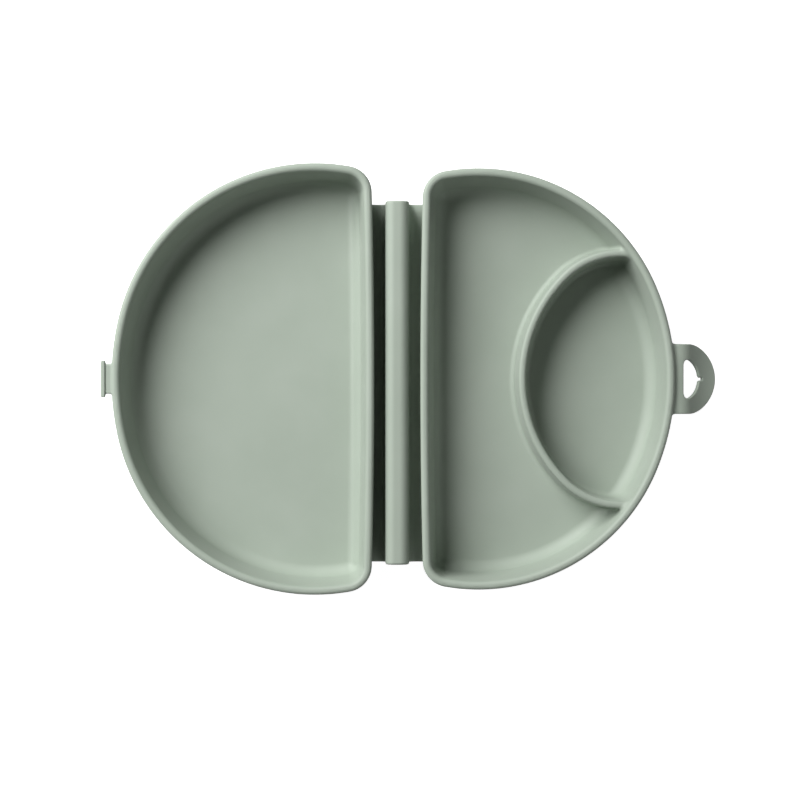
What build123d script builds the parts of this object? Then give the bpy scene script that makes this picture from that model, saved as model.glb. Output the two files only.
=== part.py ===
from build123d import *

import os
from math import atan2, cos, radians, sin, sqrt, tan

# Folding silicone suction bowl, opened flat on the table.
# An open half (-X) and a divided half (+X) hang on a soft spine that runs along Y.
# Folding the open half over closes the bowl, and a strap on the divided half loops over a stud.
# Lengths along X are given from the hinge line, in millimetres. +Z is up and the table is at Z = 0.

# ---------------------------------------------------------------- driving dimensions
RIM_Z = 31.0              # top of both rims
BASE_Z = 5.0              # underside of both floors, standing on the suction cups
FLOOR = 2.6               # floor thickness
WALL = 2.4                # wall thickness
DRAFT = 8.0               # wall draft in degrees
INNER_ROUND = 6.0         # fillet between floor and wall inside
BEAD_WIDTH = 3.6          # rounded rim bead
BEAD_HEIGHT = 3.2
BEAD_ROUND = 1.6
CORNER = 12.0             # plan radius of the corners beside the hinge
RIM_HOLD = 2.5            # how far the stud's neck and the strap's anchor run in under a rim
CLOSED_GAP = 0.3          # between the two rims when the bowl is shut

HINGE_SIDE = 10.4         # from the hinge line to a rim, at its middle
HINGE_BOW = 1.3           # how much further out the rim's straight side is at its corners

# Each rim: distance to its widest place, half width there, reach, and radius of its far end
OPEN_RIM = dict(widest=37.2, half_width=97.3, reach=128.9, end_radius=121.1)
DIVIDED_RIM = dict(widest=36.5, half_width=95.0, reach=125.2, end_radius=107.6)

# Divider, on its centre line, as the rims
DIVIDER_TOP_Z = RIM_Z - 2.5
DIVIDER_WIDTH = 3.2
DIVIDER_DRAFT = 3.0
DIVIDER_ROUND = 1.28      # fillet along both top edges
DIVIDER_SUNK = 1.0        # how far its outline starts below the floor's surface
DIVIDER_X = 101.3         # where the divider is widest
DIVIDER_DEPTH = 44.8      # from there towards the hinge
DIVIDER_HALF_WIDTH = 56.9
DIVIDER_END_RADIUS = 65.6
DIVIDER_TAIL = 30.0       # straight run at each end, trimmed by the bowl's wall

# Spine: two legs and a half-round ridge, made of one bent web
WEB = 2.0
RIDGE_RADIUS = 5.4        # outside of the ridge
SPINE_LENGTH = 164.5
SPINE_SHIFT = -1.7        # its middle, along Y
FOOT_Z = 9.0              # middle of the web where it joins the wall
FOOT_ROUND = 4.0
BEND_GAP = 0.3            # clearance cut at each bend line
BEND_CUT = 4.0            # length of that cut, across the whole web

# Latch strap
STRAP = 1.8               # thickness
STRAP_PIVOT_X = 130.2
STRAP_PIVOT_Z = RIM_Z - 3.4
STRAP_DROOP = 34.0        # degrees below the horizontal, as moulded
STRAP_RADIUS = 15.8       # outside of the loop
STRAP_STRAIGHT = 1.3      # straight part of the loop beyond the bend
STRAP_HOLE_RADIUS = 8.8
STRAP_NOTCH = (2.0, 1.2)  # length and width of the notch at the hole's top
STRAP_EDGE = 0.5
STRAP_END_ROUND = 0.88    # the loop's legs end in all but half rounds about the bend line

# Latch stud
STUD_HEAD = 2.1           # thickness
STUD_HEAD_RADIUS = 9.25
STUD_NECK_RADIUS = 8.4
STUD_INNER_X = 131.5      # face of the head towards the wall
STUD_NECK_FLAT = 4.5      # from the loop's bend line to the flat side, with the bowl shut
STUD_HEAD_FLAT = 3.9
STUD_HEAD_SHIFT = 0.75

# Suction cups
CUP_RADIUS = 28.0
CUP_PAD_RADIUS = 12.0
CUP_LIP = 1.4             # width of the ring that touches the table
CUP_EDGE = 0.8            # thickness of the lip's edge
CUP_DOME = 3.0            # depth of the hollow at its middle
CUP_DOME_FLAT = 4.0       # radius of the flat top of the hollow
CUP_SHOULDER = (21.3, 2.7)  # a place on the cup's upper curve, as radius and height
CUP_HOLLOW = (17.4, 2.0)  # a place on the hollow's curve
CUP_X = 64.0
CUP_Y = 42.0

# ---------------------------------------------------------------- derived places
# The origin is under the middle of the whole object, so the hinge line is a little to -X of it.
DROOP = radians(STRAP_DROOP)
LOOP_END = STRAP_STRAIGHT + STRAP_RADIUS
STRAP_REACH = (STRAP_PIVOT_X + (LOOP_END - STRAP_EDGE) * cos(DROOP)
               + (STRAP / 2 - STRAP_EDGE) * sin(DROOP) + STRAP_EDGE)
STUD_REACH = STUD_INNER_X + STUD_HEAD
HINGE_X = (STUD_REACH - STRAP_REACH) / 2

FLOOR_Z = BASE_Z + FLOOR
BEAD_OVERHANG = BEAD_WIDTH - WALL
OUTER_ROUND = INNER_ROUND + WALL
WEB_RADIUS = RIDGE_RADIUS - WEB / 2

# Each bend turns about a line just outside the ridge's skin, at 45 degrees on its round.
BEND_ANGLE = 45.0
BEND_RADIUS = RIDGE_RADIUS + BEND_GAP / 2
BEND_X = BEND_RADIUS * cos(radians(BEND_ANGLE))
BEND_Z = RIM_Z + CLOSED_GAP / 2 - BEND_X
RIDGE_Z = BEND_Z - BEND_RADIUS * sin(radians(BEND_ANGLE))   # centre of the ridge's round

# Height at which the loop's bend line stands on the open half's stud, once that half is folded over
STUD_CENTRE_Z = 2 * RIM_Z + CLOSED_GAP - STRAP_PIVOT_Z

OPEN, DIVIDED = -1, 1     # sides of the hinge line

spine_section = Plane(origin=(HINGE_X, SPINE_SHIFT, 0), x_dir=(1, 0, 0), z_dir=(0, -1, 0))


def level(height):
    """Horizontal plane at a height, with its origin on the hinge line."""
    return Plane(origin=(HINGE_X, 0, height))


def tangent_arcs(depth, half_width, end_radius):
    """Side radius and tangent angle of an oval end made of one end arc and two side arcs."""
    side_radius = (2 * depth * end_radius - depth**2 - half_width**2) / (2 * (end_radius - half_width))
    angle = atan2(half_width - side_radius, end_radius - depth)
    return side_radius, angle


def rim_outline(side, widest, half_width, reach, end_radius):
    """D-shaped face: an oval far end, and a slightly bowed side with round corners at the hinge."""
    side_radius, angle = tangent_arcs(reach - widest, half_width, end_radius)
    tangent_x = reach - end_radius + end_radius * cos(angle)
    tangent_y = end_radius * sin(angle)
    corner_x = HINGE_SIDE + HINGE_BOW
    corner_y = half_width - side_radius + sqrt(side_radius**2 - (widest - corner_x) ** 2)
    with BuildSketch() as outline:
        with BuildLine():
            ThreePointArc((side * tangent_x, -tangent_y), (side * reach, 0), (side * tangent_x, tangent_y))
            ThreePointArc((side * corner_x, -corner_y), (side * HINGE_SIDE, 0), (side * corner_x, corner_y))
            for across in (-1, 1):
                ThreePointArc(
                    (side * tangent_x, across * tangent_y),
                    (side * widest, across * half_width),
                    (side * corner_x, across * corner_y),
                )
        make_face()
        fillet(outline.vertices().sort_by(lambda vertex: side * vertex.X)[:2], radius=CORNER)
    return outline.sketch


def tapered_block(outline, inset, bottom_z, bottom_round):
    """Solid inside a rim, narrowing from the rim's top down to a height, with rounded bottom edges."""
    narrowing = (RIM_Z - bottom_z) * tan(radians(DRAFT))
    with BuildPart() as block:
        for height, amount in ((RIM_Z, inset), (bottom_z, inset + narrowing)):
            with BuildSketch(level(height)):
                add(outline)
                offset(amount=-amount)
        loft(ruled=True)
        fillet(block.faces().sort_by(Axis.Z)[0].edges(), radius=bottom_round)
    return block.part


def make_cavity(outline):
    """The hollow of one half, from the rim down to the floor."""
    return tapered_block(outline, BEAD_WIDTH, FLOOR_Z, INNER_ROUND)


def make_shell(outline, cavity):
    """Floor, drafted wall and rim bead of one half."""
    block = tapered_block(outline, BEAD_OVERHANG, BASE_Z, OUTER_ROUND)
    with BuildPart() as shell:
        add(block)
        with BuildSketch(level(RIM_Z - BEAD_HEIGHT)):
            add(outline)
        extrude(amount=BEAD_HEIGHT)
        add(cavity, mode=Mode.SUBTRACT)
        fillet(shell.faces().sort_by(Axis.Z)[-1].edges(), radius=BEAD_ROUND)
    return shell.part


def make_leg(side, shell):
    """Web that rises from one half's wall to its bend line on the ridge."""
    wall_x = HINGE_SIDE + (RIM_Z - FOOT_Z) * tan(radians(DRAFT)) + BEAD_WIDTH
    with BuildPart() as leg:
        with BuildSketch(spine_section):
            with BuildLine():
                FilletPolyline(
                    (side * WEB_RADIUS, RIDGE_Z),
                    (side * WEB_RADIUS, FOOT_Z),
                    (side * wall_x, FOOT_Z),
                    radius=FOOT_ROUND,
                )
                CenterArc((0, RIDGE_Z), WEB_RADIUS, 90 - side * 90, side * BEND_ANGLE)
            trace(line_width=WEB)
            bend_cut(side)
        extrude(amount=SPINE_LENGTH / 2, both=True)
        add(shell, mode=Mode.SUBTRACT)
    return leg.part


def bend_cut(side):
    """Clearance cut across the web at one bend line."""
    cut_x = side * WEB_RADIUS * cos(radians(BEND_ANGLE))
    cut_z = RIDGE_Z + WEB_RADIUS * sin(radians(BEND_ANGLE))
    with Locations((cut_x, cut_z)):
        Rectangle(BEND_CUT, BEND_GAP, rotation=side * BEND_ANGLE, mode=Mode.SUBTRACT)


def make_cup(side, y):
    """Round suction cup: a pad under the floor and a thin lip that reaches the table."""
    cup_plane = Plane(origin=(HINGE_X + side * CUP_X, y, 0), x_dir=(1, 0, 0), z_dir=(0, -1, 0))
    with BuildPart() as cup:
        with BuildSketch(cup_plane):
            with BuildLine():
                Polyline((CUP_DOME_FLAT, CUP_DOME), (0, CUP_DOME), (0, BASE_Z), (CUP_PAD_RADIUS, BASE_Z))
                ThreePointArc((CUP_PAD_RADIUS, BASE_Z), CUP_SHOULDER, (CUP_RADIUS, CUP_EDGE))
                Polyline((CUP_RADIUS, CUP_EDGE), (CUP_RADIUS, 0), (CUP_RADIUS - CUP_LIP, 0))
                ThreePointArc((CUP_RADIUS - CUP_LIP, 0), CUP_HOLLOW, (CUP_DOME_FLAT, CUP_DOME))
            make_face()
        revolve(axis=Axis(cup_plane.origin, cup_plane.y_dir))
    return cup.part


def stud_profile(radius, centre_z, flat_z):
    """Round below a flat: the part of a disc under a height."""
    with Locations((0, centre_z)):
        Circle(radius)
    with Locations((0, flat_z)):
        Rectangle(4 * radius, 4 * radius, align=(Align.CENTER, Align.MIN), mode=Mode.SUBTRACT)


# ---------------------------------------------------------------- the two halves
open_outline = rim_outline(OPEN, **OPEN_RIM)
open_bowl_shell = make_shell(open_outline, make_cavity(open_outline))

divided_outline = rim_outline(DIVIDED, **DIVIDED_RIM)
divided_cavity = make_cavity(divided_outline)
divided_bowl_shell = make_shell(divided_outline, divided_cavity)

# ---------------------------------------------------------------- portion divider
# Its centre line is an oval end like the rims'. The closed outline runs on through the bowl's wall,
# and the bowl's hollow trims the finished wall to length.
divider_side_radius, divider_angle = tangent_arcs(DIVIDER_DEPTH, DIVIDER_HALF_WIDTH, DIVIDER_END_RADIUS)
divider_near_x = DIVIDER_X - DIVIDER_DEPTH
divider_tail_x = DIVIDER_X + DIVIDER_TAIL
divider_tangent_x = divider_near_x + DIVIDER_END_RADIUS * (1 - cos(divider_angle))
divider_tangent_y = DIVIDER_END_RADIUS * sin(divider_angle)
divider_middle = (divider_angle + radians(90)) / 2
divider_middle_x = DIVIDER_X - divider_side_radius * cos(divider_middle)
divider_middle_y = DIVIDER_HALF_WIDTH - divider_side_radius * (1 - sin(divider_middle))

with BuildSketch() as compartment:
    with BuildLine():
        ThreePointArc(
            (divider_tangent_x, -divider_tangent_y),
            (divider_near_x, 0),
            (divider_tangent_x, divider_tangent_y),
        )
        for across in (-1, 1):
            ThreePointArc(
                (divider_tangent_x, across * divider_tangent_y),
                (divider_middle_x, across * divider_middle_y),
                (DIVIDER_X, across * DIVIDER_HALF_WIDTH),
            )
            Line((DIVIDER_X, across * DIVIDER_HALF_WIDTH), (divider_tail_x, across * DIVIDER_HALF_WIDTH))
        Line((divider_tail_x, -DIVIDER_HALF_WIDTH), (divider_tail_x, DIVIDER_HALF_WIDTH))
    make_face()

divider_foot_z = FLOOR_Z - DIVIDER_SUNK
divider_spread = (DIVIDER_TOP_Z - divider_foot_z) * tan(radians(DIVIDER_DRAFT))


def divider_block(direction):
    """Drafted solid inside the divider's outer (1) or inner (-1) face."""
    half_width = DIVIDER_WIDTH / 2
    with BuildPart() as block:
        for height, amount in ((divider_foot_z, half_width + divider_spread), (DIVIDER_TOP_Z, half_width)):
            with BuildSketch(level(height)):
                add(compartment.sketch)
                offset(amount=direction * amount)
        loft(ruled=True)
    return block.part


divider_outside = divider_block(1)
divider_inside = divider_block(-1)

with BuildPart() as portion_divider:
    add(divider_outside)
    add(divider_inside, mode=Mode.SUBTRACT)
    fillet(portion_divider.faces().sort_by(Axis.Z)[-1].edges(), radius=DIVIDER_ROUND)
    add(divided_cavity, mode=Mode.INTERSECT)

# ---------------------------------------------------------------- spine
hinge_left_leg = make_leg(OPEN, open_bowl_shell)
hinge_right_leg = make_leg(DIVIDED, divided_bowl_shell)

with BuildPart() as hinge_ridge:
    with BuildSketch(spine_section):
        with BuildLine():
            CenterArc((0, RIDGE_Z), WEB_RADIUS, BEND_ANGLE, 180 - 2 * BEND_ANGLE)
        trace(line_width=WEB)
        for side in (OPEN, DIVIDED):
            bend_cut(side)
    extrude(amount=SPINE_LENGTH / 2, both=True)

# ---------------------------------------------------------------- latch stud on the open half
stud_face = Plane(origin=(HINGE_X - STUD_INNER_X, 0, 0), x_dir=(0, -1, 0), z_dir=(-1, 0, 0))

with BuildPart() as latch_stud:
    with BuildSketch(stud_face):
        stud_profile(STUD_NECK_RADIUS, STUD_CENTRE_Z, STUD_CENTRE_Z - STUD_NECK_FLAT)
    extrude(amount=-(STUD_INNER_X - OPEN_RIM["reach"] + RIM_HOLD))
    add(open_bowl_shell, mode=Mode.SUBTRACT)
    with BuildSketch(stud_face):
        stud_profile(STUD_HEAD_RADIUS, STUD_CENTRE_Z - STUD_HEAD_SHIFT, STUD_CENTRE_Z - STUD_HEAD_FLAT)
    extrude(amount=STUD_HEAD)

# ---------------------------------------------------------------- latch strap on the divided half
anchor_end = STRAP_PIVOT_X - STRAP / 2 - BEND_GAP
anchor_start = DIVIDED_RIM["reach"] - RIM_HOLD

with BuildPart() as strap_anchor:
    with BuildSketch(level(STRAP_PIVOT_Z)):
        with Locations((anchor_start, 0)):
            Rectangle(anchor_end - anchor_start, 2 * STRAP_RADIUS, align=(Align.MIN, Align.CENTER))
    extrude(amount=STRAP / 2, both=True)
    add(divided_bowl_shell, mode=Mode.SUBTRACT)

strap_plane = Plane(
    origin=(HINGE_X + STRAP_PIVOT_X, 0, STRAP_PIVOT_Z),
    x_dir=(cos(DROOP), 0, -sin(DROOP)),
    z_dir=(sin(DROOP), 0, cos(DROOP)),
)
knuckle = STRAP / 2       # the legs run this far in past the bend line

with BuildPart() as latch_strap:
    with BuildSketch(strap_plane):
        with Locations((STRAP_STRAIGHT, 0)):
            Circle(STRAP_RADIUS)
        with Locations((-knuckle, 0)):
            Rectangle(STRAP_STRAIGHT + knuckle, 2 * STRAP_RADIUS, align=(Align.MIN, Align.CENTER))
            Rectangle(2 * STRAP_RADIUS, 3 * STRAP_RADIUS, align=(Align.MAX, Align.CENTER), mode=Mode.SUBTRACT)
            Rectangle(knuckle, 2 * STRAP_HOLE_RADIUS, align=(Align.MIN, Align.CENTER), mode=Mode.SUBTRACT)
        Circle(STRAP_HOLE_RADIUS, mode=Mode.SUBTRACT)
        with Locations((STRAP_HOLE_RADIUS + STRAP_NOTCH[0] / 2, 0)):
            Rectangle(STRAP_NOTCH[0] + STRAP_NOTCH[1], STRAP_NOTCH[1], mode=Mode.SUBTRACT)
    extrude(amount=STRAP / 2, both=True)
    along_strap = Axis(strap_plane.origin, strap_plane.x_dir)
    leg_ends = latch_strap.faces().filter_by(along_strap).sort_by(along_strap)[:2]
    fillet([edge for end in leg_ends for edge in end.edges().filter_by(Axis.Y)], radius=STRAP_END_ROUND)
    outer_edges = latch_strap.edges().filter_by(
        lambda edge: edge.geom_type == GeomType.CIRCLE and abs(edge.radius - STRAP_RADIUS) < STRAP_EDGE
    )
    fillet(outer_edges, radius=STRAP_EDGE)

# ---------------------------------------------------------------- write the pieces
pieces = {
    "open_bowl_shell": open_bowl_shell,
    "divided_bowl_shell": divided_bowl_shell,
    "portion_divider": portion_divider.part,
    "hinge_left_leg": hinge_left_leg,
    "hinge_right_leg": hinge_right_leg,
    "hinge_ridge": hinge_ridge.part,
    "latch_stud": latch_stud.part,
    "strap_anchor": strap_anchor.part,
    "latch_strap": latch_strap.part,
    "suction_cup_left_front": make_cup(OPEN, -CUP_Y),
    "suction_cup_left_back": make_cup(OPEN, CUP_Y),
    "suction_cup_right_front": make_cup(DIVIDED, -CUP_Y),
    "suction_cup_right_back": make_cup(DIVIDED, CUP_Y),
}

os.makedirs("parts", exist_ok=True)
for name, piece in pieces.items():
    piece.label = name
    export_step(piece, f"parts/{name}.step")
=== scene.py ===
from math import atan2, cos, hypot, pi, radians, sin, sqrt, tan

import bpy
import numpy as np
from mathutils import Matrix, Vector


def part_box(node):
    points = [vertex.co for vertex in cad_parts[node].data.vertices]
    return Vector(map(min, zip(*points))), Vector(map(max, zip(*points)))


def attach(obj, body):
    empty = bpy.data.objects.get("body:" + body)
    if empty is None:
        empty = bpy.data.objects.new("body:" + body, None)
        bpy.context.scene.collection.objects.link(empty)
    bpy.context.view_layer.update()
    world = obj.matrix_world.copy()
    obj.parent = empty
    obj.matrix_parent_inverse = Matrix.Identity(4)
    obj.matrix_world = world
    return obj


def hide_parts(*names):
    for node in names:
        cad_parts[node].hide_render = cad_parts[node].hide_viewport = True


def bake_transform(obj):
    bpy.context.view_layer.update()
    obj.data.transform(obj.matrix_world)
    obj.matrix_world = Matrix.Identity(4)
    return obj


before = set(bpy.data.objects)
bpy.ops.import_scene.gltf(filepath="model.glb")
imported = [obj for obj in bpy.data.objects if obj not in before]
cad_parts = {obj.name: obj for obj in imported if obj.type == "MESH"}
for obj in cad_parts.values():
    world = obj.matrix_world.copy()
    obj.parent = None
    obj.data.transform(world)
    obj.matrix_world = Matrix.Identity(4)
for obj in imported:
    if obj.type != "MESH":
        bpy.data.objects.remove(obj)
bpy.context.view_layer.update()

# Soft silicone skins over the folding suction bowl's frame.
# Each half is one moulded skin, from its rim down to its half of the spine, and the two skins meet
# along the ridge. They are level sets of distance fields, meshed here on regular grids.
# Fields work in millimetres, with X measured from the hinge line. Meshes are made in metres.
MM = 0.001

# ---------------------------------------------------------------- sizes, from the frame and the mould


def box_mm(node):
    """Lowest and highest corner of a CAD node, in millimetres."""
    low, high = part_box(node)
    return np.array(low) / MM, np.array(high) / MM


RIDGE_LOW, RIDGE_HIGH = box_mm("hinge_ridge")
OPEN_LOW, OPEN_HIGH = box_mm("open_bowl_shell")
DIVIDED_LOW, DIVIDED_HIGH = box_mm("divided_bowl_shell")
DIVIDER_LOW, DIVIDER_HIGH = box_mm("portion_divider")
STUD_LOW, STUD_HIGH = box_mm("latch_stud")
ANCHOR_LOW, ANCHOR_HIGH = box_mm("strap_anchor")
LEG_LOW, _ = box_mm("hinge_right_leg")

HINGE_X = (RIDGE_LOW[0] + RIDGE_HIGH[0]) / 2
RIM_Z = OPEN_HIGH[2]
BASE_Z = OPEN_LOW[2]

# Walls and rims
FLOOR_Z = DIVIDER_LOW[2]
WALL = 2.4
DRAFT = radians(8)
INNER_ROUND = 6.0
BEAD_WIDTH = 3.6
BEAD_HEIGHT = 3.2
BEAD_ROUND = 1.55
BEAD_BLEND = 1.2            # roundness under the bead
CORNER = 12.0
HINGE_SIDE = DIVIDED_LOW[0] - HINGE_X
HINGE_BOW = 1.3

# Each rim: where it is widest, half width there, reach from the hinge line, radius of its far end
OPEN_RIM = dict(widest=37.2, half_width=OPEN_HIGH[1], reach=HINGE_X - OPEN_LOW[0], end_radius=121.1)
DIVIDED_RIM = dict(
    widest=36.5, half_width=DIVIDED_HIGH[1], reach=DIVIDED_HIGH[0] - HINGE_X, end_radius=107.6
)

# Divider
DIVIDER_TOP = DIVIDER_HIGH[2]
DIVIDER_WIDTH = 3.2
DIVIDER_DRAFT = radians(3)
DIVIDER_ROUND = 1.45
DIVIDER_FILLET = 2.2        # where it meets the floor and the wall
DIVIDER_LINE = dict(near=56.5, widest=101.3, half_width=56.9, end_radius=65.6)

# Spine
WEB = 2.0
RIDGE_RADIUS = 5.4
RIDGE_SHOULDER = 3.2        # middle radius of the turn from its top into each leg
FOOT_Z = LEG_LOW[2] + WEB / 2
FOOT_ROUND = 4.0
SPINE_HALF = (RIDGE_HIGH[1] - RIDGE_LOW[1]) / 2
SPINE_Y = (RIDGE_HIGH[1] + RIDGE_LOW[1]) / 2
WEB_EDGE = 0.7
OPEN_WEB_FILLET = 3.5       # where the web meets each half's wall
DIVIDED_WEB_FILLET = 1.8

# Latch stud on the open half, with X away from the hinge
STUD_INNER_X = 131.5
STUD_OUTER_X = HINGE_X - STUD_LOW[0]
STUD_Z = 34.7
STUD_NECK_RADIUS = 8.4
STUD_NECK_FLAT = STUD_Z - 4.5
STUD_HEAD_RADIUS = 9.25
STUD_HEAD_Z = 33.95
STUD_HEAD_FLAT = STUD_HIGH[2]
STUD_ROUND = 0.7

# Latch strap
STRAP = ANCHOR_HIGH[2] - ANCHOR_LOW[2]
PIVOT = (130.2, (ANCHOR_LOW[2] + ANCHOR_HIGH[2]) / 2)
DROOP = radians(46)         # where the strap leaves its moulded bend
STRAP_RADIUS = ANCHOR_HIGH[1]
STRAP_STRAIGHT = 2.3
STRAP_BEND = 7.0            # radius of that bend
STRAP_SWEEP = 32.0          # radius of the loop's upward curve after it
STRAP_HOLE = 8.8
STRAP_HOLE_BACK = 0.9       # how far the hole's flat side lies rimwards of the bend's middle
STRAP_HOLE_CORNER = 1.5 * STRAP
STRAP_NOTCH = (2.0, 1.2)
STRAP_EDGE = 0.5
STRAP_SEAM = 127.2          # where the strap's own skin starts

# Suction cup, as radius and height from the top middle over the lip to the hollow's middle
CUP_PROFILE = (
    (0, 5.05), (8, 5.05), (12.6, 5.0), (13.0, 4.75), (13.6, 4.45), (15.0, 4.1), (17.5, 3.6), (20.0, 3.05),
    (22.5, 2.4), (25.0, 1.65), (26.8, 1.05), (27.6, 0.75), (27.95, 0.5), (27.95, 0.25), (27.7, 0.05),
    (27.2, 0.0), (26.7, 0.0), (26.3, 0.15), (25.2, 0.45), (22.8, 1.05), (20.0, 1.6), (17.0, 2.08),
    (13.5, 2.5), (9.5, 2.85), (5.0, 2.98), (2.5, 3.0), (0, 3.0),
)

CUP_STEPS = 96

# Meshing
CELL = 0.8                  # grid of the bowls' skins
FINE = CELL / 2             # grid of the strap's skin
MARGIN = 2 * CELL           # space kept round a half when its field is sampled
PROBE = 0.02                # step that a field's gradient is measured over
LEAST_STEEP = 0.05          # least squared gradient that a move divides by
FIRST_MOVES = 3             # moves onto the surface, before the points are evened out
RELAX_ROUNDS = 2            # times they are evened out
LATER_MOVES = 2             # moves after each time

# ---------------------------------------------------------------- distance fields


def rounded_corner(a, b, cosine, radius):
    """Distance to the rounded corner of two faces, whose normals meet at an angle of that cosine."""
    a = a + radius
    b = b + radius
    reach = np.sqrt(np.maximum(a * a + b * b - 2 * cosine * a * b, 0) / (1 - cosine * cosine))
    within = (a > cosine * b) & (b > cosine * a)
    return np.where(within, reach, np.maximum(a, b)) - radius


def round_both(a, b, radius):
    """Inside both a and b, with the edge where they meet rounded."""
    return np.minimum(-radius, np.maximum(a, b)) + np.hypot(
        np.maximum(radius + a, 0), np.maximum(radius + b, 0)
    )


def soft_either(a, b, width):
    """Inside a or b, with a soft hollow where they meet."""
    near = np.maximum(width - np.abs(a - b), 0) / width
    return np.minimum(a, b) - near * near * width / 4


def soft_both(a, b, width):
    """Inside both a and b, softened where they meet."""
    return -soft_either(-a, -b, width)


def fillet_either(a, b, radius):
    """Inside a or b, with a round fillet in the corner between them."""
    return -round_both(-a, -b, radius)


def side_arc(depth, half_width, end_radius):
    """Radius of an oval's side arcs, and the angle where they meet its end arc."""
    radius = (2 * depth * end_radius - depth**2 - half_width**2) / (2 * (end_radius - half_width))
    return radius, atan2(half_width - radius, end_radius - depth)


def rim_field(x, y, widest, half_width, reach, end_radius):
    """Distance in plan to a rim: an oval far end, a slightly bowed side and round corners at the hinge."""
    side_radius, angle = side_arc(reach - widest, half_width, end_radius)
    side_y = half_width - side_radius
    end_x = reach - end_radius
    y = np.abs(y)
    end = np.hypot(x - end_x, y) - end_radius
    side = np.hypot(x - widest, y - side_y) - side_radius
    oval = np.where((x - end_x) * sin(angle) > y * cos(angle), end, side)

    corner_x = HINGE_SIDE + HINGE_BOW
    corner_y = side_y + sqrt(side_radius**2 - (widest - corner_x) ** 2)
    bow_radius = (HINGE_BOW**2 + corner_y**2) / (2 * HINGE_BOW)
    bow_x = HINGE_SIDE + bow_radius
    bow = np.hypot(x - bow_x, y) - bow_radius

    # Centre of the corner's round, a corner radius inside both arcs
    inner_bow = bow_radius - CORNER
    inner_side = side_radius - CORNER
    span = hypot(widest - bow_x, side_y)
    along = (inner_bow**2 - inner_side**2 + span**2) / (2 * span)
    off = sqrt(inner_bow**2 - along**2)
    to_side = ((widest - bow_x) / span, side_y / span)
    round_x = bow_x + along * to_side[0] + off * to_side[1]
    round_y = along * to_side[1] - off * to_side[0]
    from_bow = ((round_x - bow_x) / inner_bow, round_y / inner_bow)
    from_side = ((round_x - widest) / inner_side, (round_y - side_y) / inner_side)
    px = x - round_x
    py = y - round_y
    within = (from_bow[0] * py < from_bow[1] * px) & (px * from_side[1] < py * from_side[0])
    return np.where(within, np.hypot(px, py) - CORNER, np.maximum(oval, bow))


def divider_field(x, y, near, widest, half_width, end_radius):
    """Distance in plan to the divider's middle line."""
    side_radius, angle = side_arc(widest - near, half_width, end_radius)
    side_y = half_width - side_radius
    end_x = near + end_radius
    y = np.abs(y)
    end = np.hypot(x - end_x, y) - end_radius
    side = np.hypot(x - widest, y - side_y) - side_radius
    oval = np.where((end_x - x) * sin(angle) > y * cos(angle), end, side)
    return np.abs(np.where(x > widest, y - half_width, oval))


def bowl_field(x, y, z, rim, divided):
    """One half's floor, wall, rim bead and divider."""
    q = rim_field(x, y, **rim)
    lean = (RIM_Z - z) * tan(DRAFT)
    outside = (q + BEAD_WIDTH - WALL + lean) * cos(DRAFT)
    block = rounded_corner(outside, BASE_Z - z, sin(DRAFT), INNER_ROUND + WALL)
    block = np.maximum(block, z - (RIM_Z - BEAD_ROUND))
    bead = rounded_corner(q, z - RIM_Z, 0, BEAD_ROUND)
    bead = soft_both(bead, RIM_Z - BEAD_HEIGHT - z, BEAD_BLEND)
    outer = soft_either(block, bead, BEAD_BLEND)

    inside = (q + BEAD_WIDTH + lean) * cos(DRAFT)
    hollow = rounded_corner(inside, FLOOR_Z - z, sin(DRAFT), INNER_ROUND)
    if divided:
        thick = DIVIDER_WIDTH / 2 + (DIVIDER_TOP - z) * tan(DIVIDER_DRAFT)
        faces = (divider_field(x, y, **DIVIDER_LINE) - thick) * cos(DIVIDER_DRAFT)
        divider = rounded_corner(faces, z - DIVIDER_TOP, sin(DIVIDER_DRAFT), DIVIDER_ROUND)
        hollow = round_both(hollow, -divider, DIVIDER_FILLET)
    return round_both(outer, -hollow, BEAD_ROUND)


def web_field(x, y, z):
    """The spine's bent web on one side: half of the ridge's top, a leg and a foot."""
    middle = RIDGE_RADIUS - WEB / 2
    bend_x = middle + FOOT_ROUND
    bend_z = FOOT_Z + FOOT_ROUND
    top_z = RIDGE_HIGH[2] - WEB / 2
    turn_x = middle - RIDGE_SHOULDER
    turn_z = top_z - RIDGE_SHOULDER
    top = np.hypot(x - np.minimum(x, turn_x), z - top_z)
    shoulder = np.abs(np.hypot(x - turn_x, z - turn_z) - RIDGE_SHOULDER)
    ridge = np.where((x > turn_x) & (z > turn_z), shoulder, top)
    leg = np.hypot(x - middle, z - np.clip(z, bend_z, turn_z))
    turn = np.abs(np.hypot(x - bend_x, z - bend_z) - FOOT_ROUND)
    turn = np.where((x < bend_x) & (z < bend_z), turn, np.inf)
    wall_x = HINGE_SIDE + (RIM_Z - FOOT_Z) * tan(DRAFT) + BEAD_WIDTH
    foot = np.hypot(x - np.clip(x, bend_x, wall_x), z - FOOT_Z)
    line = np.minimum(np.minimum(ridge, leg), np.minimum(turn, foot))
    return rounded_corner(line - WEB / 2, np.abs(y - SPINE_Y) - SPINE_HALF, 0, WEB_EDGE)


def stud_field(x, y, z, radius, centre_z, flat_z, start, end):
    """The part of a disc below a flat, between two places along X."""
    disc = np.hypot(y, z - centre_z) - radius
    profile = soft_both(disc, z - flat_z, STUD_ROUND)
    return rounded_corner(profile, np.abs(x - (start + end) / 2) - (end - start) / 2, 0, STUD_ROUND / 2)


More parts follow.
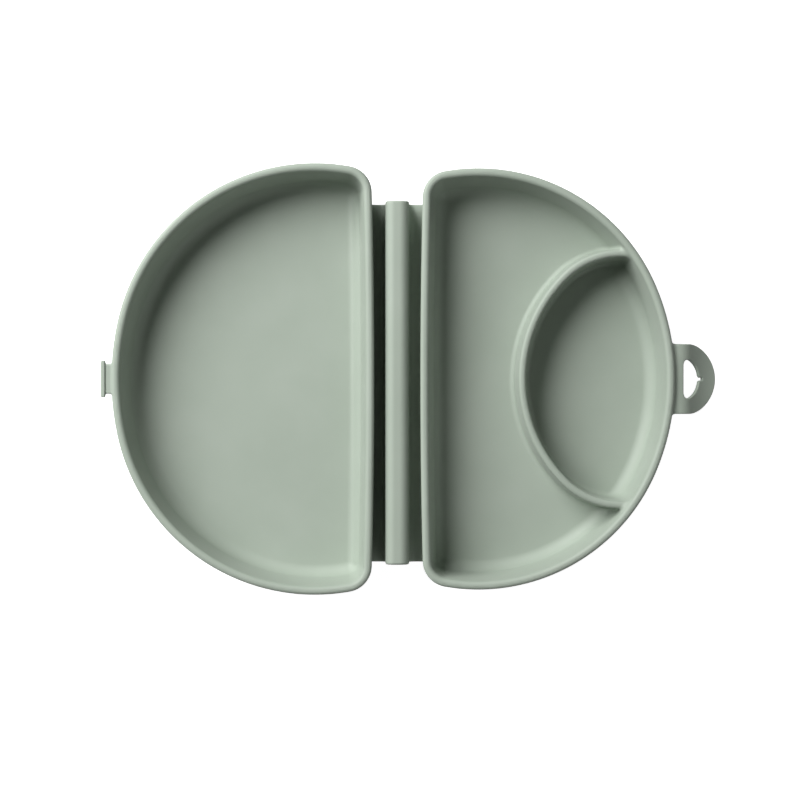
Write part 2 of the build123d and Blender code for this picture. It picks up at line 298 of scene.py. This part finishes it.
def strap_field(x, y, z):
    """The strap: a tab out of the rim, a bend down, and a loop that levels out, with a D-shaped hole."""
    px = x - PIVOT[0]
    pz = z - PIVOT[1]
    reach = STRAP_BEND * tan(DROOP / 2)
    turned = np.arctan2(px + reach, pz + STRAP_BEND)
    radius = np.hypot(px + reach, pz + STRAP_BEND)
    before = px < -reach
    after = turned > DROOP
    sweep_x = reach * cos(DROOP) + STRAP_SWEEP * sin(DROOP) - px
    sweep_z = STRAP_SWEEP * cos(DROOP) - reach * sin(DROOP) - pz
    slope_left = np.arctan2(sweep_x, sweep_z)
    u = np.where(before, px, (2 * turned / DROOP - 1) * reach)
    u = np.where(after, reach + STRAP_SWEEP * (DROOP - slope_left), u)
    w = np.where(before, pz, radius - STRAP_BEND)
    w = np.where(after, STRAP_SWEEP - np.hypot(sweep_x, sweep_z), w)

    end = np.hypot(u - STRAP_STRAIGHT, y) - STRAP_RADIUS
    outline = np.where(u > STRAP_STRAIGHT, end, np.abs(y) - STRAP_RADIUS)
    hole = soft_both(np.hypot(u, y) - STRAP_HOLE, -u - STRAP_HOLE_BACK, STRAP_HOLE_CORNER)
    slot_x = np.abs(u - STRAP_HOLE) - STRAP_NOTCH[0]
    slot = np.maximum(slot_x, np.abs(y) - STRAP_NOTCH[1] / 2)
    hole = soft_either(hole, slot, STRAP_NOTCH[1])
    sheet = np.maximum(outline, -hole)
    return rounded_corner(sheet, np.abs(w) - STRAP / 2, 0, STRAP_EDGE)


def open_half(x, y, z):
    """The whole open half, with X away from the hinge."""
    shell = bowl_field(x, y, z, OPEN_RIM, False)
    neck = stud_field(
        x, y, z, STUD_NECK_RADIUS, STUD_Z, STUD_NECK_FLAT, OPEN_RIM["reach"] - BEAD_WIDTH / 2, STUD_OUTER_X
    )
    head = stud_field(x, y, z, STUD_HEAD_RADIUS, STUD_HEAD_Z, STUD_HEAD_FLAT, STUD_INNER_X, STUD_OUTER_X)
    skin = fillet_either(shell, web_field(x, y, z), OPEN_WEB_FILLET)
    skin = soft_either(skin, neck, STUD_ROUND)
    return soft_either(skin, head, STUD_ROUND / 2)


def divided_half(x, y, z):
    """The whole divided half, with X away from the hinge."""
    shell = bowl_field(x, y, z, DIVIDED_RIM, True)
    skin = fillet_either(shell, web_field(x, y, z), DIVIDED_WEB_FILLET)
    tab = np.maximum(strap_field(x, y, z), DIVIDED_RIM["reach"] - BEAD_WIDTH / 2 - x)
    return soft_either(skin, tab, STRAP)


# ---------------------------------------------------------------- meshing a field


def slope(field, points):
    """Gradient of a field at points."""
    rows = []
    for axis in range(3):
        shift = np.zeros(3)
        shift[axis] = PROBE
        rows.append((field(*(points + shift).T) - field(*(points - shift).T)) / (2 * PROBE))
    return np.stack(rows, axis=1)


def onto_surface(field, points, held, rounds):
    """Moves points onto the field's zero surface. Held points keep their X."""
    for _ in range(rounds):
        gradient = slope(field, points)
        gradient[held, 0] = 0
        steep = np.maximum((gradient**2).sum(axis=1), LEAST_STEEP)
        move = gradient * (field(*points.T) / steep)[:, None]
        points = points - np.clip(move, -CELL, CELL)
    return points


def surface_cells(inside):
    """Cells that the surface crosses, as a grid of flags: some of their 8 corners are inside, not all."""
    count = np.zeros(np.array(inside.shape) - 1, np.int8)
    for i in (0, 1):
        for j in (0, 1):
            for k in (0, 1):
                count += inside[i:, j:, k:][: count.shape[0], : count.shape[1], : count.shape[2]]
    return (count > 0) & (count < 8)


def edge_quads(inside, number, axis):
    """One quad round each grid edge along an axis that the surface crosses, facing outwards."""
    one, two = (axis + 1) % 3, (axis + 2) % 3
    near = np.take(inside, range(inside.shape[axis] - 1), axis)
    far = np.take(inside, range(1, inside.shape[axis]), axis)
    edges = np.argwhere(near != far)
    whole = (edges[:, one] > 0) & (edges[:, one] < number.shape[one])
    whole &= (edges[:, two] > 0) & (edges[:, two] < number.shape[two])
    edges = edges[whole]
    step_one, step_two = np.eye(3, dtype=int)[one], np.eye(3, dtype=int)[two]
    ring = [edges - step_one - step_two, edges - step_two, edges, edges - step_one]
    quad = np.stack([number[tuple(corner.T)] for corner in ring], axis=1)
    leaving = near[tuple(edges.T)]
    quad[~leaving] = quad[~leaving][:, ::-1]
    return quad


def net(field, low, high, cell, seam):
    """Points and quads over a field's zero surface. The grid's first cells sit astride a seam along X."""
    start = seam - cell / 2
    origin = np.array([start, 0, 0])
    first = np.floor((np.array(low) - origin) / cell)
    last = np.ceil((np.array(high) - origin) / cell)
    axes = [np.arange(a, b + 1) * cell for a, b in zip(first, last)]
    axes[0] = axes[0] + start
    grid = np.meshgrid(*axes, indexing="ij")
    value = np.empty(grid[0].shape, np.float32)
    for i in range(len(axes[0])):
        value[i] = field(grid[0][i], grid[1][i], grid[2][i])
    inside = value < 0

    crossed = surface_cells(inside)
    cells = np.argwhere(crossed)
    number = np.full(crossed.shape, -1)
    number[crossed] = np.arange(len(cells))
    points = np.stack([axes[a][cells[:, a]] + cell / 2 for a in range(3)], axis=1)
    return points, np.concatenate([edge_quads(inside, number, axis) for axis in range(3)])


def relax(points, quads, held):
    """Each point moves to the middle of its neighbours, apart from the held ones."""
    edges = np.concatenate([quads[:, [i, (i + 1) % 4]] for i in range(4)])
    total = np.zeros_like(points)
    for axis in range(3):
        total[:, axis] = np.bincount(edges[:, 0], points[edges[:, 1], axis], len(points))
        total[:, axis] += np.bincount(edges[:, 1], points[edges[:, 0], axis], len(points))
    count = np.bincount(edges[:, 0], minlength=len(points)) + np.bincount(edges[:, 1], minlength=len(points))
    middle = total / np.maximum(count, 1)[:, None]
    middle[held] = points[held]
    return middle


def skin(name, field, low, high, cell, side, *seams):
    """A mesh object over a field between seams along X. Side is -1 where X away from the hinge is -X."""
    points, quads = net(field, low, high, cell, seams[0])
    held = np.abs(points[:, :1] - np.array(seams)).min(axis=1) < cell / 4
    points = onto_surface(field, points, held, FIRST_MOVES)
    for _ in range(RELAX_ROUNDS):
        points = relax(points, quads, held)
        points = onto_surface(field, points, held, LATER_MOVES)
    along = points[quads][:, :, 0]
    keep = ~held[quads].all(axis=1)
    if len(seams) > 1:
        keep &= along.max(axis=1) <= seams[1] + cell / 4
    quads = quads[keep]
    used = np.unique(quads)
    renumber = np.zeros(len(points), int)
    renumber[used] = np.arange(len(used))
    quads = renumber[quads]
    points = points[used]
    normals = slope(field, points)
    normals /= np.linalg.norm(normals, axis=1)[:, None]
    if side < 0:
        points[:, 0] *= -1
        normals[:, 0] *= -1
        quads = quads[:, ::-1]
    points[:, 0] += HINGE_X
    mesh = bpy.data.meshes.new(name)
    mesh.from_pydata((points * MM).tolist(), [], quads.tolist())
    mesh.validate()
    mesh.shade_smooth()
    mesh.normals_split_custom_set_from_vertices(normals.tolist())
    piece = bpy.data.objects.new(name, mesh)
    bpy.context.scene.collection.objects.link(piece)
    return piece


def reaches(rim, far):
    """Corners of the space that one half fills, with X away from the hinge."""
    side = rim["half_width"] + MARGIN
    return (0, -side, BASE_Z - MARGIN), (far + MARGIN, side, RIM_Z + MARGIN)


# ---------------------------------------------------------------- materials
SAGE = (0.328, 0.379, 0.321)
SAGE_DEEP = (0.318, 0.369, 0.311)
SAGE_PALE = (0.338, 0.388, 0.331)
TONES = [(0.30, SAGE_DEEP), (0.52, SAGE), (0.72, SAGE_PALE)]     # over the clouds' noise
DUST = (0.50, 0.54, 0.49)
DUST_STOPS = [(0.0, (0, 0, 0)), (0.70, (0, 0, 0)), (0.78, (1, 1, 1))]
DUST_COVER = 0.16           # how strongly a speck shows

CLOUDS = dict(scale=45, detail=3, rough=0.5)
SPECKS = dict(scale=900, detail=2, rough=0.6)
GRAIN = dict(scale=3200, detail=2, rough=0.7)
WAVES = dict(scale=160, detail=2, rough=0.5)
GRAIN_BUMP = dict(distance=0.00012, strength=0.10)
WAVE_BUMP = dict(distance=0.0003, strength=0.06)

ROUGHNESS = (0.50, 0.66)
SPECULAR = 0.42
SHEEN = 0.06
SHEEN_ROUGHNESS = 0.5

TABLE = (0.65, 0.65, 0.65)
TABLE_ROUGHNESS = 0.9
TABLE_GLOW = 0.92           # of the table and the background, seen by the camera


def material(name):
    """A new node material, and its tree."""
    made = bpy.data.materials.new(name)
    made.use_nodes = True
    made.node_tree.nodes.clear()
    return made, made.node_tree


def noise(tree, coordinates, scale, detail, rough):
    """A noise texture on given coordinates."""
    node = tree.nodes.new("ShaderNodeTexNoise")
    node.inputs["Scale"].default_value = scale
    node.inputs["Detail"].default_value = detail
    node.inputs["Roughness"].default_value = rough
    tree.links.new(coordinates, node.inputs["Vector"])
    return node.outputs["Fac"]


def ramp(tree, value, stops):
    """A colour ramp through (place, colour) stops."""
    node = tree.nodes.new("ShaderNodeValToRGB")
    elements = node.color_ramp.elements
    for element, (place, colour) in zip(elements, (stops[0], stops[-1])):
        element.position = place
        element.color = (*colour, 1)
    for place, colour in stops[1:-1]:
        elements.new(place).color = (*colour, 1)
    tree.links.new(value, node.inputs["Fac"])
    return node.outputs["Color"]


def spread(tree, value, low, high):
    """A 0 to 1 value mapped onto a range."""
    node = tree.nodes.new("ShaderNodeMapRange")
    node.inputs["To Min"].default_value = low
    node.inputs["To Max"].default_value = high
    tree.links.new(value, node.inputs["Value"])
    return node.outputs["Result"]


def bump(tree, height, distance, strength, under=None):
    """A bump, which can lie over another one."""
    node = tree.nodes.new("ShaderNodeBump")
    node.inputs["Strength"].default_value = strength
    node.inputs["Distance"].default_value = distance
    tree.links.new(height, node.inputs["Height"])
    if under is not None:
        tree.links.new(under, node.inputs["Normal"])
    return node.outputs["Normal"]


def silicone():
    """Matte sage silicone: faint clouding, a fine mould grain, a soft bloom and specks of dust."""
    made, tree = material("sage_silicone")
    coordinates = tree.nodes.new("ShaderNodeTexCoord").outputs["Object"]
    clouds = noise(tree, coordinates, **CLOUDS)
    specks = noise(tree, coordinates, **SPECKS)
    grain = noise(tree, coordinates, **GRAIN)
    waves = noise(tree, coordinates, **WAVES)

    tone = ramp(tree, clouds, TONES)
    dust = ramp(tree, specks, DUST_STOPS)
    colour = tree.nodes.new("ShaderNodeMix")
    colour.data_type = "RGBA"
    colour.inputs["B"].default_value = (*DUST, 1)
    tree.links.new(spread(tree, dust, 0, DUST_COVER), colour.inputs["Factor"])
    tree.links.new(tone, colour.inputs["A"])

    shader = tree.nodes.new("ShaderNodeBsdfPrincipled")
    tree.links.new(colour.outputs["Result"], shader.inputs["Base Color"])
    tree.links.new(spread(tree, waves, *ROUGHNESS), shader.inputs["Roughness"])
    shader.inputs["Specular IOR Level"].default_value = SPECULAR
    shader.inputs["Sheen Weight"].default_value = SHEEN
    shader.inputs["Sheen Roughness"].default_value = SHEEN_ROUGHNESS
    under = bump(tree, waves, **WAVE_BUMP)
    over = bump(tree, grain, under=under, **GRAIN_BUMP)
    tree.links.new(over, shader.inputs["Normal"])
    output = tree.nodes.new("ShaderNodeOutputMaterial")
    tree.links.new(shader.outputs["BSDF"], output.inputs["Surface"])
    return made


def table():
    """Plain pale table. Its glow reaches only the camera, so that the bowl's shadow on it looks faint."""
    made, tree = material("pale_table")
    shader = tree.nodes.new("ShaderNodeBsdfPrincipled")
    shader.inputs["Base Color"].default_value = (*TABLE, 1)
    shader.inputs["Roughness"].default_value = TABLE_ROUGHNESS
    shader.inputs["Emission Color"].default_value = (1, 1, 1, 1)
    seen = tree.nodes.new("ShaderNodeLightPath").outputs["Is Camera Ray"]
    tree.links.new(spread(tree, seen, 0, TABLE_GLOW), shader.inputs["Emission Strength"])
    output = tree.nodes.new("ShaderNodeOutputMaterial")
    tree.links.new(shader.outputs["BSDF"], output.inputs["Surface"])
    return made


# ---------------------------------------------------------------- plain pieces


def object_of(name, points, faces):
    """A mesh object from points in metres."""
    mesh = bpy.data.meshes.new(name)
    mesh.from_pydata(points, [], faces)
    mesh.shade_smooth()
    piece = bpy.data.objects.new(name, mesh)
    bpy.context.scene.collection.objects.link(piece)
    return piece


def lathe(name, profile, centre, steps):
    """A closed turned piece about an upright line: the profile runs from the top middle to the hollow's."""
    points = []
    faces = []
    rings = len(profile) - 2
    for radius, height in profile[1:-1]:
        for step in range(steps):
            turn = 2 * pi * step / steps
            points.append(
                ((centre[0] + radius * cos(turn)) * MM, (centre[1] + radius * sin(turn)) * MM, height * MM)
            )
    for ring in range(rings - 1):
        for step in range(steps):
            corner = ring * steps + step
            beside = ring * steps + (step + 1) % steps
            faces.append((corner, corner + steps, beside + steps, beside))
    for place, ring, turned in ((profile[0], 0, 1), (profile[-1], rings - 1, -1)):
        tip = len(points)
        points.append((centre[0] * MM, centre[1] * MM, place[1] * MM))
        for step in range(steps):
            fan = (ring * steps + step, ring * steps + (step + 1) % steps, tip)
            faces.append(fan[::turned])
    return object_of(name, points, faces)


# ---------------------------------------------------------------- camera
CAMERA_HEIGHT = 0.9         # above the rims, in metres like its place
CAMERA_PLACE = (-0.0043, -0.0095)
CAMERA_LENS = 90            # millimetres, like its sensor
CAMERA_SENSOR = 36

camera = bpy.data.objects.new("camera", bpy.data.cameras.new("camera"))
camera.data.lens = CAMERA_LENS
camera.data.sensor_width = CAMERA_SENSOR
camera.location = (*CAMERA_PLACE, RIM_Z * MM + CAMERA_HEIGHT)
bpy.context.scene.collection.objects.link(camera)
bpy.context.scene.camera = camera

# ---------------------------------------------------------------- skins
skin_material = silicone()

open_skin = skin("open_bowl_skin", open_half, *reaches(OPEN_RIM, STUD_OUTER_X), CELL, -1, 0)
divided_skin = skin(
    "divided_bowl_skin", divided_half, *reaches(DIVIDED_RIM, PIVOT[0]), CELL, 1, 0, STRAP_SEAM
)
strap_skin = skin(
    "latch_strap_skin",
    strap_field,
    (STRAP_SEAM, -STRAP_RADIUS - FINE, PIVOT[1] - STRAP_RADIUS),
    (PIVOT[0] + STRAP_RADIUS + STRAP_BEND, STRAP_RADIUS + FINE, PIVOT[1] + STRAP),
    FINE,
    1,
    STRAP_SEAM,
)

# Each skin's place is baked into its points.
for piece, body, side in ((open_skin, "open_bowl", -1), (divided_skin, "divided_bowl", 1)):
    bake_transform(piece)

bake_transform(strap_skin)

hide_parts("open_bowl_shell", "hinge_left_leg", "hinge_ridge", "latch_stud")
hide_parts("divided_bowl_shell", "portion_divider", "hinge_right_leg", "strap_anchor")
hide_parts("latch_strap")

cups = []
for node, body in (
    ("suction_cup_left_front", "open_bowl"),
    ("suction_cup_left_back", "open_bowl"),
    ("suction_cup_right_front", "divided_bowl"),
    ("suction_cup_right_back", "divided_bowl"),
):
    low, high = box_mm(node)
    cup = lathe(node + "_skin", CUP_PROFILE, (low + high) / 2, CUP_STEPS)
    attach(cup, body)
    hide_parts(node)
    cups.append(cup)

for piece in (open_skin, divided_skin, strap_skin, *cups):
    piece.data.materials.append(skin_material)

# ---------------------------------------------------------------- floor and light
FLOOR_REACH = 3.0           # metres, like the lamps' distance and size
LAMP_DISTANCE = 1.5
LAMP_SIZE = 1.3
KEY_WAY = (-0.62, 0.52, 0.66)     # from the object to the main light
KEY_POWER = 42.5
FILL_WAY = (0.68, -0.58, 0.46)
FILL_POWER = 3.7
SKY = 0.05                  # strength of the background's own light

floor = object_of(
    "floor",
    [(x, y, 0) for x, y in ((-1, -1), (1, -1), (1, 1), (-1, 1))],
    [(0, 1, 2, 3)],
)
floor.scale = (FLOOR_REACH, FLOOR_REACH, 1)
floor.data.materials.append(table())

for name, way, power in (("key_light", KEY_WAY, KEY_POWER), ("fill_light", FILL_WAY, FILL_POWER)):
    lamp = bpy.data.objects.new(name, bpy.data.lights.new(name, "AREA"))
    lamp.data.shape = "DISK"
    lamp.data.size = LAMP_SIZE
    lamp.data.energy = power
    lamp.location = Vector(way).normalized() * LAMP_DISTANCE
    lamp.rotation_euler = Vector(way).to_track_quat("Z", "Y").to_euler()
    bpy.context.scene.collection.objects.link(lamp)

world = bpy.data.worlds.new("studio")
world.use_nodes = True
sky = world.node_tree.nodes["Background"]
sky.inputs["Color"].default_value = (1, 1, 1, 1)
seen = world.node_tree.nodes.new("ShaderNodeLightPath").outputs["Is Camera Ray"]
world.node_tree.links.new(spread(world.node_tree, seen, SKY, TABLE_GLOW), sky.inputs["Strength"])
bpy.context.scene.world = world
bpy.context.scene.view_settings.view_transform = "Standard"
